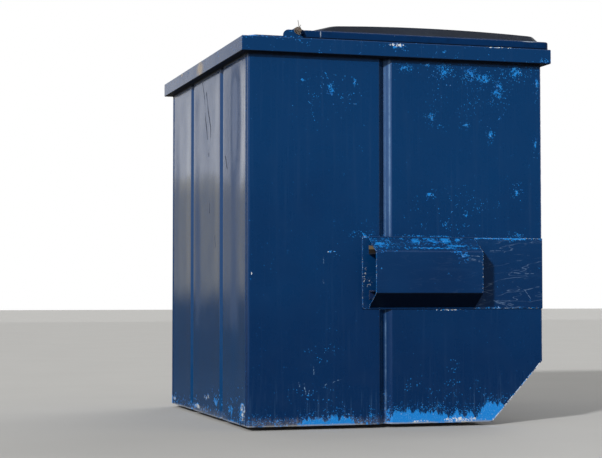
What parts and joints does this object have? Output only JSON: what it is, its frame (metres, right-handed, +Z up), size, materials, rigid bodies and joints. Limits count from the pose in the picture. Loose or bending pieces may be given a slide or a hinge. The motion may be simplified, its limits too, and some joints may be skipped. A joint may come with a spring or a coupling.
{
  "type": "front-load refuse container",
  "caption": "Steel refuse container with fork pockets on its sides, a cut-away lower front, stiffening grooves and hinged plastic lids",
  "frame": {"origin": "on the ground under the middle of the body, which the rim overhangs alike at front and rear", "axes": "+X across the container from one fork pocket to the other, +Y to the rear where the lids hinge, +Z up"},
  "size_m": [2.074, 1.676, 2.0622],
  "materials": {
    "sheet_paint": "glossy dark blue enamel, brushed over an older bright blue, chipped and dusty low down",
    "tube_paint": "glossy dark blue enamel, scraped at the corners",
    "plate_paint": "dark blue enamel rubbed through to bright blue and primer",
    "pocket_steel": "worn and rusty inside the fork pockets",
    "under_steel": "black primer, dusty and rusty",
    "hinge_steel": "bare steel, rusty brown",
    "lid_plastic": "blue-black moulded polyethylene, weathered"
  },
  "bodies": {
    "container": {"cross_channels": "under_steel", "floor_plate": "under_steel", "front_panel": "sheet_paint", "front_slope": "sheet_paint", "groove_caps": "sheet_paint", "hinge_crossbar": "tube_paint", "hinge_lug_centre": "tube_paint", "hinge_lug_left": "tube_paint", "hinge_lug_right": "tube_paint", "hinge_nuts": "hinge_steel", "hinge_rod": "hinge_steel", "hinge_washers": "hinge_steel", "lug_between_knuckles_left": "tube_paint", "lug_between_knuckles_right": "tube_paint", "pocket_hood_left": "plate_paint", "pocket_hood_right": "plate_paint", "pocket_lower_rail_left": "pocket_steel", "pocket_lower_rail_right": "pocket_steel", "pocket_upper_rail_left": "pocket_steel", "pocket_upper_rail_right": "pocket_steel", "rear_cover": "tube_paint", "rear_panel": "sheet_paint", "rim_rail_front": "tube_paint", "rim_rail_left": "tube_paint", "rim_rail_rear": "tube_paint", "rim_rail_right": "tube_paint", "side_panel_left": "sheet_paint", "side_panel_right": "sheet_paint", "skid_centre": "under_steel", "skid_left": "under_steel", "skid_right": "under_steel", "split_pin_left": "hinge_steel", "split_pin_right": "hinge_steel", "wear_plate_left": "plate_paint", "wear_plate_right": "plate_paint"},
    "lid_left": {"lid_left": "lid_plastic"},
    "lid_right": {"lid_right": "lid_plastic"}
  },
  "joints": [
    {"name": "lid_left_hinge", "type": "hinge", "parent": "container", "child": "lid_left", "pos_m": [0, 0.548, 2], "axis": [-1, 0, 0], "range_deg": [0, 174]},
    {"name": "lid_right_hinge", "type": "hinge", "parent": "container", "child": "lid_right", "pos_m": [0, 0.548, 2], "axis": [-1, 0, 0], "range_deg": [0, 174]}
  ]
}
